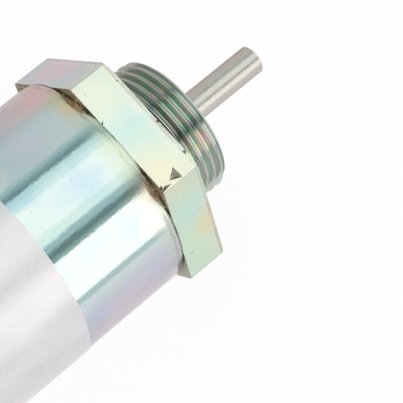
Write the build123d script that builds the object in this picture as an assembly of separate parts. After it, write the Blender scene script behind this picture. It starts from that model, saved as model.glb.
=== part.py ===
from build123d import *
import math
import os

# Fuel shutoff solenoid: a steel can with a hexagon and a threaded nose, and a sprung pin.
# Origin: centre of the hexagon's front face, which seats on the engine.
# +X runs along the axis towards the pin's free end, and a flat of the hexagon faces down.
# Each piece is turned about Z, with z = 0 on that face, and laid along X when it is written.
# Lengths are in millimetres.

# Hexagon and nose
hex_sides = 6
across_flats = 36.0
hex_thickness = 7.0
hex_front_round = 0.3
hex_side_round = 0.2
hex_corner_depth = 0.4
hex_corner_angle = 30.0
nose_diameter = 24.0
nose_length = 8.6
nose_chamfer = 0.85
spigot_length = 6.0
plunger_floor_depth = 3.0
seal_recess_diameter = 12.0
seal_recess_depth = 4.1
recess_chamfer = 0.3

# Can
can_diameter = 37.4
can_wall = 1.5
can_length = 62.0
can_bevel_length = 1.3
can_bevel_depth = 0.25
rim_thickness = 1.2
rim_width = 1.8
rim_bend_radius = 1.0

# Label
label_front_gap = 19.4
label_length = 36.0
label_film = 0.08
label_wrap_angle = 320.0

# Pin and plunger
pin_diameter = 4.9
pin_reach = 16.9
pin_tip_round = 0.35
pin_head_diameter = 6.2
pin_head_thickness = 1.2
clip_groove_depth = 0.45
clip_thickness = 0.7
clip_width = 1.9
clip_opening_angle = 70.0
clip_pocket_diameter = 9.2
clip_pocket_depth = 1.7
plunger_diameter = 16.0
plunger_length = 26.0
plunger_chamfer = 0.6
plunger_vent_count = 2
plunger_vent_width = 1.2
plunger_vent_depth = 0.8
stroke = 10.0
stop_gap = 0.05

# Guide parts in the housing
bush_wall = 2.0
bush_length = 7.4
bush_flange_diameter = 13.0
bush_flange_thickness = 1.2
stop_washer_thickness = 1.0
stop_washer_hole_gap = 0.6
seal_height = 2.3
seal_lip_thickness = 0.5
seal_groove_width = 1.0
seal_groove_depth = 1.2
retainer_thickness = 0.8
retainer_hole_diameter = 7.4

# Coil
tube_wall = 0.5
bobbin_wall = 1.2
bobbin_flange_gap = 0.4
bobbin_flange_thickness = 1.6
tape_thickness = 0.3
tape_depth_in_flange = 0.8

# Pole, plate and springs
plate_thickness = 3.0
pole_stub_diameter = 12.0
pole_chamfer = 0.5
shim_thickness = 0.2
spring_wire = 0.8
spring_coil_diameter = 6.3
spring_turns = 8
spring_pocket_diameter = 6.9
plunger_pocket_depth = 12.0
pole_pocket_depth = 8.0
disc_spring_height = 1.2
disc_spring_thickness = 0.5
disc_spring_wall_gap = 0.4
disc_spring_terminal_gap = 0.5

# Terminals, cover and grommet
insulator_thickness = 1.0
terminal_diameter = 1.1
terminal_count = 3
terminal_angle_step = 50.0
terminal_tube_gap = 0.8
terminal_tail = 3.2
terminal_plate_hole = 2.6
cover_depth = 8.6
cover_floor = 2.0
cover_wall = 3.0
cover_collar_diameter = 17.0
cover_collar_height = 1.0
cover_hole_diameter = 10.0
o_ring_groove_width = 2.2
o_ring_groove_depth = 1.6
grommet_flange_diameter = 13.6
grommet_flange_thickness = 1.6
grommet_inner_flange_diameter = 12.6
grommet_tail_length = 6.8
grommet_root_diameter = 11.2
grommet_end_diameter = 9.2
grommet_rib_depth = 0.6
grommet_rib_count = 3
lead_hole_diameter = 2.3
lead_circle_radius = 2.4
lead_count = 3

# Local angle about Z that points up once a piece lies along X
angle_of_top = 180.0

# Clearances
running_gap = 0.05
seating_gap = 0.03
rubber_gap = 0.12

# Radii that follow
nose_radius = nose_diameter / 2
can_radius = can_diameter / 2
can_bore = can_radius - can_wall
pin_radius = pin_diameter / 2
plunger_radius = plunger_diameter / 2
tube_bore = plunger_radius + running_gap
tube_radius = tube_bore + tube_wall
housing_bore = tube_radius + seating_gap
insert_radius = can_bore - seating_gap
bush_bore = pin_radius + running_gap
bush_radius = bush_bore + bush_wall
seal_radius = seal_recess_diameter / 2 - seating_gap
bobbin_bore = tube_radius + seating_gap
pull_in_bore = bobbin_bore + bobbin_wall + seating_gap
bobbin_flange_radius = can_bore - bobbin_flange_gap
tape_bore = bobbin_flange_radius - tape_depth_in_flange - tape_thickness
winding_depth = (tape_bore - pull_in_bore) / 2 - seating_gap
hold_bore = pull_in_bore + winding_depth + seating_gap
cover_cavity = insert_radius - cover_wall
terminal_circle_radius = tube_radius + terminal_tube_gap + terminal_diameter / 2
spring_pocket = spring_pocket_diameter / 2
clip_radius = pin_radius - clip_groove_depth + seating_gap
groove_floor = insert_radius - o_ring_groove_depth
o_ring_section = (can_bore - groove_floor) / 2 - seating_gap

# Stations along the axis that follow, from the nose to the grommet
pin_tip = nose_length + pin_reach
seal_floor = nose_length - seal_recess_depth
housing_floor = -plunger_floor_depth
stop_face = housing_floor - stop_washer_thickness
hex_rear = -hex_thickness
spigot_rear = hex_rear - spigot_length
can_rear = hex_rear - can_length
cover_rear = can_rear + rim_thickness
cover_front = cover_rear + cover_depth
insulator_front = cover_front + insulator_thickness
plate_front = insulator_front + plate_thickness
bobbin_rear = plate_front + disc_spring_height
plunger_front = stop_face - stop_gap
plunger_rear = plunger_front - plunger_length
spring_front = plunger_rear + plunger_pocket_depth - pin_head_thickness
pole_front = plunger_rear - stroke - stop_gap - shim_thickness
spring_rear = pole_front - pole_pocket_depth
label_front = hex_rear - label_front_gap


def turned(outline):
    """Solid of revolution about Z from (radius, height) corners."""
    profile = make_face(Plane.XZ * Polyline(*outline, close=True))
    return revolve(profile, Axis.Z)


def ring(outer, inner, low, high):
    return turned([(inner, low), (outer, low), (outer, high), (inner, high)])


def round_bar(radius, low, high):
    return Pos(0, 0, low) * Cylinder(radius, high - low, align=(Align.CENTER, Align.CENTER, Align.MIN))


def around(count, step_degrees, first_degrees, radius):
    """Places on a circle about Z, the first at an angle from local X."""
    return [Rot(0, 0, first_degrees + i * step_degrees) * Pos(radius, 0, 0) for i in range(count)]


def circles_at(solid, height):
    """Round edges of a turned solid that lie at one height."""
    return [e for e in solid.edges().filter_by(GeomType.CIRCLE) if abs(e.center().Z - height) < seating_gap]


def o_ring_groove(middle):
    half = o_ring_groove_width / 2
    return ring(can_radius, groove_floor, middle - half, middle + half)


def hexagon_blank():
    """Round blank with a coned front edge, which takes the hexagon's front corners off."""
    corner = across_flats / 2 / math.cos(math.pi / hex_sides)
    cone_depth = 2 * hex_corner_depth
    front = corner - hex_corner_depth / math.tan(math.radians(hex_corner_angle))
    back = front + cone_depth / math.tan(math.radians(hex_corner_angle))
    return turned([(0, hex_rear), (back, hex_rear), (back, -cone_depth), (front, 0), (0, 0)])


def front_housing():
    """Hexagon, nose and spigot in one piece, bored for the bush, the tube and the seal."""
    flat_down = 180 / hex_sides
    outline = RegularPolygon(across_flats / 2, hex_sides, major_radius=False, rotation=flat_down)
    hexagon = extrude(outline, -hex_thickness) & hexagon_blank()
    hexagon = fillet(hexagon.edges().filter_by(Axis.Z), hex_side_round)
    body = fillet(hexagon.edges().group_by(Axis.Z)[-1], hex_front_round)
    nose_end = nose_length - nose_chamfer
    body += turned(
        [
            (0, hex_rear / 2),
            (nose_radius, hex_rear / 2),
            (nose_radius, nose_end),
            (nose_radius - nose_chamfer, nose_length),
            (0, nose_length),
        ]
    )
    body += round_bar(insert_radius, spigot_rear, hex_rear)
    body -= o_ring_groove(front_o_ring_middle())
    bush_end = housing_floor + bush_flange_thickness
    recess = seal_recess_diameter / 2
    body -= turned(
        [
            (0, spigot_rear),
            (housing_bore, spigot_rear),
            (housing_bore, housing_floor),
            (bush_flange_diameter / 2 + seating_gap, housing_floor),
            (bush_flange_diameter / 2 + seating_gap, bush_end),
            (bush_radius + seating_gap, bush_end),
            (bush_radius + seating_gap, seal_floor),
            (recess, seal_floor),
            (recess, nose_length - recess_chamfer),
            (recess + recess_chamfer, nose_length),
            (0, nose_length),
        ]
    )
    return body


def can():
    """Steel tube, bevelled where it meets the hexagon, with its rear edge rolled over the cover."""
    bevel_end = hex_rear - can_bevel_length
    shell = turned(
        [
            (can_bore, hex_rear),
            (can_radius - can_bevel_depth, hex_rear),
            (can_radius, bevel_end),
            (can_radius, can_rear),
            (can_bore - rim_width, can_rear),
            (can_bore - rim_width, cover_rear),
            (can_bore, cover_rear),
        ]
    )
    bend = [e for e in circles_at(shell, can_rear) if e.radius > can_bore]
    return fillet(bend, rim_bend_radius)


def label():
    """Film wrapped round the can, with its seam on the underside."""
    film = ring(can_radius + label_film, can_radius, label_front - label_length, label_front)
    half_gap = math.radians((360 - label_wrap_angle) / 2)
    reach = 2 * can_radius
    seam = make_face(
        Polyline(
            (0, 0),
            (reach * math.cos(half_gap), -reach * math.sin(half_gap)),
            (reach * math.cos(half_gap), reach * math.sin(half_gap)),
            close=True,
        )
    )
    return film - Pos(0, 0, label_front - label_length) * extrude(seam, label_length)


def push_pin():
    """Ground pin with a head inside the plunger, a ring groove and a rounded tip."""
    groove_rear = clip_rear() - seating_gap
    groove_front = clip_rear() + clip_thickness + seating_gap
    groove_radius = pin_radius - clip_groove_depth
    head = pin_head_diameter / 2
    head_front = spring_front + pin_head_thickness
    pin = turned(
        [
            (0, spring_front),
            (head, spring_front),
            (head, head_front),
            (pin_radius, head_front),
            (pin_radius, groove_rear),
            (groove_radius, groove_rear),
            (groove_radius, groove_front),
            (pin_radius, groove_front),
            (pin_radius, pin_tip),
            (0, pin_tip),
        ]
    )
    return fillet(circles_at(pin, pin_tip), pin_tip_round)


def clip_rear():
    return plunger_front - clip_pocket_depth + seating_gap


def front_o_ring_middle():
    return (hex_rear + spigot_rear) / 2


def rear_o_ring_middle():
    return (cover_front + cover_rear + cover_floor) / 2


def pin_clip():
    """Open snap ring in the pin's groove."""
    clip = ring(clip_radius + clip_width, clip_radius, clip_rear(), clip_rear() + clip_thickness)
    half = math.radians(clip_opening_angle / 2)
    reach = clip_pocket_diameter
    mouth = make_face(
        Polyline(
            (0, 0),
            (reach * math.cos(half), -reach * math.sin(half)),
            (reach * math.cos(half), reach * math.sin(half)),
            close=True,
        )
    )
    return clip - Pos(0, 0, clip_rear()) * extrude(mouth, clip_thickness)


def plunger():
    """Armature: bored for the pin, with a spring pocket behind, a ring pocket in front and two vents."""
    body = turned(
        [
            (0, plunger_rear),
            (plunger_radius - plunger_chamfer, plunger_rear),
            (plunger_radius, plunger_rear + plunger_chamfer),
            (plunger_radius, plunger_front - plunger_chamfer),
            (plunger_radius - plunger_chamfer, plunger_front),
            (0, plunger_front),
        ]
    )
    pocket_floor = plunger_rear + plunger_pocket_depth
    clip_floor = plunger_front - clip_pocket_depth
    body -= turned(
        [
            (0, plunger_rear),
            (spring_pocket, plunger_rear),
            (spring_pocket, pocket_floor),
            (pin_radius + seating_gap, pocket_floor),
            (pin_radius + seating_gap, clip_floor),
            (clip_pocket_diameter / 2, clip_floor),
            (clip_pocket_diameter / 2, plunger_front),
            (0, plunger_front),
        ]
    )
    vent = Box(2 * plunger_vent_depth, plunger_vent_width, plunger_length)
    for place in around(plunger_vent_count, 360 / plunger_vent_count, 0, plunger_radius):
        body -= Pos(0, 0, (plunger_rear + plunger_front) / 2) * place * vent
    return body


def guide_bush():
    """Flanged bronze bush, its flange trapped behind the stop washer."""
    flange_front = housing_floor + bush_flange_thickness
    return turned(
        [
            (bush_bore, housing_floor),
            (bush_flange_diameter / 2, housing_floor),
            (bush_flange_diameter / 2, flange_front),
            (bush_radius, flange_front),
            (bush_radius, housing_floor + bush_length),
            (bush_bore, housing_floor + bush_length),
        ]
    )


def front_stop_washer():
    return ring(housing_bore - seating_gap, pin_radius + stop_washer_hole_gap, stop_face, housing_floor)


def wiper_seal():
    """Rubber lip seal: a thick heel at the recess wall and a lip that leans to the pin."""
    front = seal_floor + seal_height
    lip = pin_radius + rubber_gap
    groove_outer = seal_radius - seal_groove_width
    return turned(
        [
            (lip + seal_groove_width, seal_floor),
            (seal_radius, seal_floor),
            (seal_radius, front),
            (groove_outer, front),
            (groove_outer, front - seal_groove_depth),
            (lip + seal_lip_thickness + seal_groove_width / 2, front - seal_groove_depth),
            (lip + seal_lip_thickness, front),
            (lip, front),
        ]
    )


def seal_retainer():
    """Thin steel ring pressed into the recess over the seal."""
    rear = seal_floor + seal_height + seating_gap
    hole = retainer_hole_diameter / 2
    return turned(
        [
            (hole, rear),
            (seal_radius, rear),
            (seal_radius, rear + retainer_thickness),
            (hole + retainer_thickness / 2, rear + retainer_thickness),
            (hole, rear + retainer_thickness / 2),
        ]
    )


def guide_tube():
    return ring(tube_radius, tube_bore, plate_front, stop_face)


def bobbin():
    """Coil former: a thin barrel between two flanges, with holes for the terminals."""
    flange = bobbin_flange_radius
    barrel = bobbin_bore + bobbin_wall
    former = turned(
        [
            (bobbin_bore, bobbin_rear),
            (flange, bobbin_rear),
            (flange, bobbin_rear + bobbin_flange_thickness),
            (barrel, bobbin_rear + bobbin_flange_thickness),
            (barrel, spigot_rear - bobbin_flange_thickness),
            (flange, spigot_rear - bobbin_flange_thickness),
            (flange, spigot_rear),
            (bobbin_bore, spigot_rear),
        ]
    )
    for place in terminal_places():
        former -= place * round_bar(terminal_diameter / 2, bobbin_rear, bobbin_rear + bobbin_flange_thickness)
    return former


def terminal_places():
    first = angle_of_top - terminal_angle_step * (terminal_count - 1) / 2
    return around(terminal_count, terminal_angle_step, first, terminal_circle_radius)


def winding(bore, depth):
    """One layer of the coil between the bobbin's flanges."""
    rear = bobbin_rear + bobbin_flange_thickness
    front = spigot_rear - bobbin_flange_thickness
    return ring(bore + depth, bore, rear, front)


def rear_pole():
    """Fixed core inside the tube, riveted through the plate, with a spring pocket in its face."""
    radius = tube_bore - seating_gap
    stub = pole_stub_diameter / 2
    return turned(
        [
            (0, insulator_front),
            (stub, insulator_front),
            (stub, plate_front),
            (radius, plate_front),
            (radius, pole_front - pole_chamfer),
            (radius - pole_chamfer, pole_front),
            (spring_pocket, pole_front),
            (spring_pocket, spring_rear),
            (0, spring_rear),
        ]
    )


def anti_stick_shim():
    outer = tube_bore - seating_gap - pole_chamfer
    return ring(outer, spring_pocket, pole_front, pole_front + shim_thickness)


def return_spring():
    """Round wire coil between the pole and the head of the pin, with a closed turn at each end."""
    wire = spring_wire / 2
    middle = (spring_coil_diameter - spring_wire) / 2
    low = spring_rear + wire
    high = spring_front - wire
    pitch = (high - low) / spring_turns
    path = Pos(0, 0, low) * Helix(pitch, high - low, middle)
    section = Plane(path @ 0, z_dir=path % 0) * Circle(wire)
    coil = sweep(section, path, is_frenet=True)
    coil += Pos(0, 0, low) * Torus(middle, wire)
    coil += Pos(0, 0, high) * Torus(middle, wire)
    return coil


def disc_spring():
    """Coned washer outside the terminals that holds the bobbin against the housing."""
    hole = terminal_circle_radius + terminal_diameter / 2 + disc_spring_terminal_gap
    outer = can_bore - disc_spring_wall_gap
    return turned(
        [
            (hole, bobbin_rear - disc_spring_thickness),
            (outer, plate_front),
            (outer, plate_front + disc_spring_thickness),
            (hole, bobbin_rear),
        ]
    )


def rear_plate():
    """Steel disc that carries the flux from the pole to the can, with a hole round each terminal."""
    plate = ring(insert_radius, pole_stub_diameter / 2 + seating_gap, insulator_front, plate_front)
    for place in terminal_places():
        plate -= place * round_bar(terminal_plate_hole / 2, insulator_front, plate_front)
    return plate


def terminal_pins():
    """Pins that stand in the bobbin's rear flange and end behind the insulating disc."""
    front = bobbin_rear + bobbin_flange_thickness
    rear = cover_front - terminal_tail
    radius = terminal_diameter / 2 - seating_gap
    return Compound(children=[place * round_bar(radius, rear, front) for place in terminal_places()])


def insulating_disc():
    disc = round_bar(insert_radius, cover_front, insulator_front)
    for place in terminal_places():
        disc -= place * round_bar(terminal_diameter / 2, cover_front, insulator_front)
    return disc


def rear_cover():
    """Moulded cap: a wall with a ring groove, a floor under the rolled rim and a collar for the grommet."""
    hole = cover_hole_diameter / 2
    collar = cover_collar_diameter / 2
    collar_end = cover_rear - cover_collar_height
    cap = turned(
        [
            (cover_cavity, cover_front),
            (insert_radius, cover_front),
            (insert_radius, cover_rear),
            (collar, cover_rear),
            (collar, collar_end),
            (hole, collar_end),
            (hole, cover_rear + cover_floor),
            (cover_cavity, cover_rear + cover_floor),
        ]
    )
    return cap - o_ring_groove(rear_o_ring_middle())


def o_ring(middle):
    return Pos(0, 0, middle) * Torus(groove_floor + seating_gap + o_ring_section, o_ring_section)


def grommet():
    """Rubber gland clamped in the cover's hole, with a ribbed tail and a hole for each lead."""
    neck = cover_hole_diameter / 2 - seating_gap
    neck_front = cover_rear + cover_floor
    neck_rear = cover_rear - cover_collar_height
    tail_root = neck_rear - grommet_flange_thickness
    tail_end = tail_root - grommet_tail_length
    root = grommet_root_diameter / 2
    taper = (grommet_root_diameter - grommet_end_diameter) / 2 / grommet_tail_length
    rib = grommet_tail_length / (2 * grommet_rib_count)
    outline = [
        (0, neck_front + grommet_flange_thickness),
        (grommet_inner_flange_diameter / 2, neck_front + grommet_flange_thickness),
        (grommet_inner_flange_diameter / 2, neck_front),
        (neck, neck_front),
        (neck, neck_rear),
        (grommet_flange_diameter / 2, neck_rear),
        (grommet_flange_diameter / 2, tail_root),
    ]
    for i in range(grommet_rib_count):
        station = tail_root - 2 * i * rib
        radius = root - taper * (tail_root - station)
        outline += [
            (radius - grommet_rib_depth, station),
            (radius - grommet_rib_depth, station - rib),
            (radius, station - rib),
            (radius, station - 2 * rib),
        ]
    outline.append((0, tail_end))
    body = turned(outline)
    for place in around(lead_count, 360 / lead_count, angle_of_top, lead_circle_radius):
        body -= place * round_bar(lead_hole_diameter / 2, tail_end, neck_front + grommet_flange_thickness)
    return body


pieces = {
    "front_housing": front_housing(),
    "can": can(),
    "label": label(),
    "push_pin": push_pin(),
    "pin_clip": pin_clip(),
    "plunger": plunger(),
    "guide_bush": guide_bush(),
    "front_stop_washer": front_stop_washer(),
    "wiper_seal": wiper_seal(),
    "seal_retainer": seal_retainer(),
    "guide_tube": guide_tube(),
    "bobbin": bobbin(),
    "pull_in_winding": winding(pull_in_bore, winding_depth),
    "hold_winding": winding(hold_bore, winding_depth),
    "winding_tape": winding(tape_bore, tape_thickness),
    "rear_pole": rear_pole(),
    "anti_stick_shim": anti_stick_shim(),
    "return_spring": return_spring(),
    "disc_spring": disc_spring(),
    "rear_plate": rear_plate(),
    "terminal_pins": terminal_pins(),
    "insulating_disc": insulating_disc(),
    "rear_cover": rear_cover(),
    "front_o_ring": o_ring(front_o_ring_middle()),
    "rear_o_ring": o_ring(rear_o_ring_middle()),
    "grommet": grommet(),
}

os.makedirs("parts", exist_ok=True)
for name, piece in pieces.items():
    export_step(Rot(0, 90, 0) * piece, f"parts/{name}.step")
    print(name, "volume", round(piece.volume, 2))
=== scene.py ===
import bmesh
import bpy
import math
from mathutils import Matrix, Vector


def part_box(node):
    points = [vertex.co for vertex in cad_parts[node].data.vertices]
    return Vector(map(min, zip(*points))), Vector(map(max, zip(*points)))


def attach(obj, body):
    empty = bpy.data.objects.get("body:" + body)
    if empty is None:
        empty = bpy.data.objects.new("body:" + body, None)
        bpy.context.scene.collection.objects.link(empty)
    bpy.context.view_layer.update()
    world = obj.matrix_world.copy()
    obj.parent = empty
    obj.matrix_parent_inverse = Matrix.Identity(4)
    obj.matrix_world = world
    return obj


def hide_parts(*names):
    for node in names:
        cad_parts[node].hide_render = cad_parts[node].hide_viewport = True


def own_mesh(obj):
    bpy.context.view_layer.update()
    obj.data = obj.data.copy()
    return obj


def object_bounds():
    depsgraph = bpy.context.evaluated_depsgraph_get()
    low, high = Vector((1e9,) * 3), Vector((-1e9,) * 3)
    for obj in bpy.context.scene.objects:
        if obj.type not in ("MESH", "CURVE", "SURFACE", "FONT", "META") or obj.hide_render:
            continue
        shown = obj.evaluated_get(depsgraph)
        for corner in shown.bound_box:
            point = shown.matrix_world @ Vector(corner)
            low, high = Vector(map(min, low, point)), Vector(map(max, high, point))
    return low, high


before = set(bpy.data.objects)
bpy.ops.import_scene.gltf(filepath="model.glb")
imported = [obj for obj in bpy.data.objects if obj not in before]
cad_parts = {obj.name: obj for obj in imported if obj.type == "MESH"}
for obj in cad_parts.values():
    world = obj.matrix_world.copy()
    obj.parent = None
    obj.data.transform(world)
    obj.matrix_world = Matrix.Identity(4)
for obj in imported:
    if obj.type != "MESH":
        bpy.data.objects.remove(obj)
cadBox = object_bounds()
mm = 0.001
samePlace = 1e-6  # metres: corners closer than this count as one
weldReach = 1e-7  # metres
roundingSteps = 4  # in each rounded corner of an outline

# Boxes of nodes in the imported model; the solenoid lies along the X axis
housingLow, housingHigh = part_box("front_housing")
canLow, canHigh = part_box("can")
labelLow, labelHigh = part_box("label")
pinLow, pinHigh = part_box("push_pin")
sealLow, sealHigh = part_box("wiper_seal")
cupLow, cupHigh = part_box("seal_retainer")
coverLow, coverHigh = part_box("rear_cover")
grommetLow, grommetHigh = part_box("grommet")
springLow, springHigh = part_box("return_spring")
hexRear = canHigh.x
canRadius = canHigh.z
floorHeight = cadBox[0].z
acrossToAlong = (0, math.pi / 2, 0)  # turns what Blender adds along Z so that it lies along X


def clearChoice():
    if bpy.context.object and bpy.context.object.mode == "EDIT":
        bpy.ops.object.mode_set(mode="OBJECT")
    bpy.ops.object.select_all(action="DESELECT")


def makeActive(piece):
    clearChoice()
    piece.select_set(True)
    bpy.context.view_layer.objects.active = piece


def choose(kind, test):  # in edit mode: picks corners, edges or faces by their place or normal
    bpy.ops.mesh.select_mode(type=kind)
    bpy.ops.mesh.select_all(action="DESELECT")
    grid = bmesh.from_edit_mesh(bpy.context.object.data)
    for part in {"VERT": grid.verts, "EDGE": grid.edges, "FACE": grid.faces}[kind]:
        if test(part):
            part.select_set(True)
    bmesh.update_edit_mesh(bpy.context.object.data)


def middle(edge):
    return (edge.verts[0].co + edge.verts[1].co) / 2


def radiusOf(point):  # distance from the X axis
    return math.hypot(point.y, point.z)


def drawOutline(name, corners, closed=True):  # in the XZ plane; it leaves edit mode on
    clearChoice()
    bpy.ops.mesh.primitive_plane_add(size=mm)
    piece = bpy.context.object
    piece.name = name
    piece.data.name = name
    bpy.ops.object.mode_set(mode="EDIT")
    bpy.ops.mesh.merge(type="CENTER")
    bpy.ops.mesh.select_mode(type="VERT")
    bpy.ops.mesh.select_all(action="SELECT")
    bpy.ops.transform.translate(value=(corners[0][0], 0, corners[0][1]))
    for here, there in zip(corners, corners[1:]):
        step = (there[0] - here[0], 0, there[1] - here[1])
        bpy.ops.mesh.extrude_region_move(TRANSFORM_OT_translate={"value": step})
    if closed:
        choose("VERT", lambda corner: len(corner.link_edges) == 1)
        bpy.ops.mesh.edge_face_add()
    for corner in corners:  # a third number in a corner is its rounding
        if len(corner) == 3:
            place = Vector((corner[0], 0, corner[1]))
            choose("VERT", lambda vert: (vert.co - place).length < samePlace)
            bpy.ops.mesh.bevel(offset=corner[2], segments=roundingSteps, affect="VERTICES")
    return piece


def finishSpin(piece, sharpAngle=30):
    bpy.ops.mesh.select_all(action="SELECT")
    bpy.ops.mesh.remove_doubles(threshold=weldReach)
    bpy.ops.mesh.normals_make_consistent(inside=False)
    bpy.ops.object.mode_set(mode="OBJECT")
    bpy.ops.object.shade_smooth_by_angle(angle=math.radians(sharpAngle))
    return piece


def spinOutline(name, corners, steps=128, closed=True):
    piece = drawOutline(name, corners, closed)
    bpy.ops.mesh.select_all(action="SELECT")
    bpy.ops.mesh.spin(steps=steps, angle=math.tau, center=(0, 0, 0), axis=(1, 0, 0))
    return finishSpin(piece)


def joinSolid(piece, other, operation):  # boolean with a helper solid, which is then removed
    makeActive(piece)
    change = piece.modifiers.new(operation, "BOOLEAN")
    change.operation = operation
    change.solver = "EXACT"
    change.object = other
    bpy.ops.object.modifier_apply(modifier=change.name)
    bpy.data.objects.remove(other, do_unlink=True)


# Materials: colours are sRGB hex, turned to linear in one place

def linear(hexColour):
    parts = [int(hexColour[i:i + 2], 16) / 255 for i in (1, 3, 5)]
    return [*(c / 12.92 if c <= 0.04045 else ((c + 0.055) / 1.055) ** 2.4 for c in parts), 1]


def addNode(tree, kind, settings=None, inputs=()):
    # a setting is the node's own or a value for an input; inputs go by name, by number or in order,
    # and each is a value or the output of another node
    node = tree.nodes.new(f"ShaderNode{kind}")
    for key, value in (settings or {}).items():
        if isinstance(key, str) and hasattr(node, key):
            setattr(node, key, value)
        else:
            node.inputs[key].default_value = value
    for key, value in inputs.items() if isinstance(inputs, dict) else enumerate(inputs):
        if isinstance(value, bpy.types.NodeSocket):
            tree.links.new(value, node.inputs[key])
        else:
            node.inputs[key].default_value = value
    return node


# settings of nodes that calculate or mix colours; a Mix takes its share at 0 and its colours at 6 and 7
cover = {"data_type": "RGBA"}
tintBy = {"data_type": "RGBA", "blend_type": "MULTIPLY"}
multiplyAdd = {"operation": "MULTIPLY_ADD"}
multiply = {"operation": "MULTIPLY"}
subtract = {"operation": "SUBTRACT"}
absolute = {"operation": "ABSOLUTE"}


def finishShader(tree, shader, outputs, height, strength, depth):  # links outputs and relief to the shader
    relief = {"Strength": strength, "Distance": depth}
    outputs["Normal"] = addNode(tree, "Bump", relief, {"Height": height}).outputs[0]
    for name, output in outputs.items():
        tree.links.new(output, shader.inputs[name])


def fillRamp(node, stops):
    ramp = node.color_ramp
    while len(ramp.elements) < len(stops):
        ramp.elements.new(1)
    for element, (place, colour) in zip(ramp.elements, stops):
        element.position = place
        element.color = linear(colour)
    return node.outputs[0]


def shadeBy(tree, noise, dark, pale):  # a slow change between two tints
    share = addNode(tree, "MapRange", {}, [noise, *middleNoise, 0.0, 1.0]).outputs[0]
    return addNode(tree, "Mix", cover, {0: share, 6: linear(dark), 7: linear(pale)}).outputs[2]


def startMaterial(name, shaderSettings):
    material = bpy.data.materials.new(name)
    material.use_nodes = True
    tree = material.node_tree
    tree.nodes.clear()
    shader = addNode(tree, "BsdfPrincipled", shaderSettings)
    addNode(tree, "OutputMaterial", inputs={"Surface": shader.outputs[0]})
    place = addNode(tree, "TexCoord").outputs["Object"]
    return material, tree, shader, place


mostNoise = (0.3, 0.7)  # nearly all values of a noise lie between these
middleNoise = (0.35, 0.65)  # and most of them between these


def patches(tree, place, sizes, detail=2.0, rough=0.5, shift=(0, 0, 0)):  # noise with patches of these sizes
    mapping = {"Scale": [1 / s for s in sizes], "Location": shift}
    scaled = addNode(tree, "Mapping", mapping, {"Vector": place}).outputs[0]
    settings = {"Scale": 1.0, "Detail": detail, "Roughness": rough}
    return addNode(tree, "TexNoise", settings, {"Vector": scaled}).outputs[0]


zincFinish = {
    "tint": "#e9f9f6",
    "filmPatch": (12.6 * mm, 9 * mm, 9 * mm),
    "filmRange": (0.35, 0.75),
    "blushWobble": 2 * mm,
    "wobblePatch": (4 * mm, 4 * mm, 4 * mm),
    "ringBreaks": (0.42, 0.56, 0.3, 1.0),  # low and high of the noise, and the shares they give
    "shiverPatch": (3 * mm, 2.5 * mm, 2.5 * mm),
    "stainPatch": (0.7 * mm, 0.5 * mm, 0.5 * mm),
    "stainTint": "#8f9a8c",
    "stainShares": (0.0, 0.5),
    "hazePatch": (4 * mm, 4 * mm, 4 * mm),
    "turningLine": (0.22 * mm, 13.2 * mm, 13.2 * mm),
    "grainPatch": (0.5 * mm, 0.4 * mm, 0.4 * mm),
    "grainWeight": 3.0,
    "wavePatch": (6 * mm, 4 * mm, 4 * mm),
}
tubeFinish = {
    "film": [(0.0, "#eaf4ff"), (0.22, "#ffffff"), (0.45, "#fffdf4"), (0.7, "#fffae8"), (0.95, "#faf2da")],
    "endReach": 4.5 * mm,
    "edgeShare": 0.5,
    "edgeHaze": 0.2,
    "glance": [(0.0, "#ffffff"), (0.3, "#fdfdff"), (0.4, "#f4ebee"), (0.6, "#f8dfe2"), (1.0, "#faded9")],
    "relief": 0.0025 * mm,
    "waves": 9,
    "stains": (0.66, 0.76),
    "roughness": (0.05, 0.09),
    "blushes": [  # place, reach, tint
        ((-10.5 * mm, 13.6 * mm, 12.8 * mm), 5 * mm, "#f6eeec"),
        ((-8.0 * mm, 10.7 * mm, 15.3 * mm), 3.5 * mm, "#e8f2c4"),
        ((-7.9 * mm, 8.4 * mm, 16.7 * mm), 3.5 * mm, "#ffe3bb"),
        ((-17.5 * mm, 7.9 * mm, 16.9 * mm), 6 * mm, "#ecf0f8"),
        ((-8.2 * mm, -7.6 * mm, 17.1 * mm), 3.5 * mm, "#f3dccb"),
        # painted shade under the hexagon's corner, where it overhangs the tube
        ((-7.5 * mm, -9.9 * mm, 15.8 * mm), 1.6 * mm, "#c79a8e"),
        ((-9.0 * mm, -12.5 * mm, 13.9 * mm), 4 * mm, "#fbf9ea"),
        ((-7.2 * mm, -17.2 * mm, 7.4 * mm), 4.5 * mm, "#defcee"),
        ((-8.6 * mm, -17.9 * mm, 5.4 * mm), 2.5 * mm, "#c8e6ea"),
        ((-12.5 * mm, -16.7 * mm, 8.5 * mm), 4 * mm, "#e5f3ff"),
        ((-17.5 * mm, -16.8 * mm, 8.2 * mm), 4.5 * mm, "#e5f3ff"),
        ((-23 * mm, -17.0 * mm, 7.8 * mm), 4.5 * mm, "#e0f1ff"),
    ],
    "rings": [  # station, half width, tint, share, wander: painted shade in the crevice at the hexagon, then lines at the bevel's edge
        # painted shade: a dark line in the crevice where the tube meets the hexagon
        (-7.0 * mm, 0.5 * mm, "#56604f", 0.95, 0.0),
        (-8.0 * mm, 0.11 * mm, "#9ba198", 0.8, 1.2 * mm),
        (-8.35 * mm, 0.1 * mm, "#aeb2a8", 0.6, 0.4 * mm),
    ],
}
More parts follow.
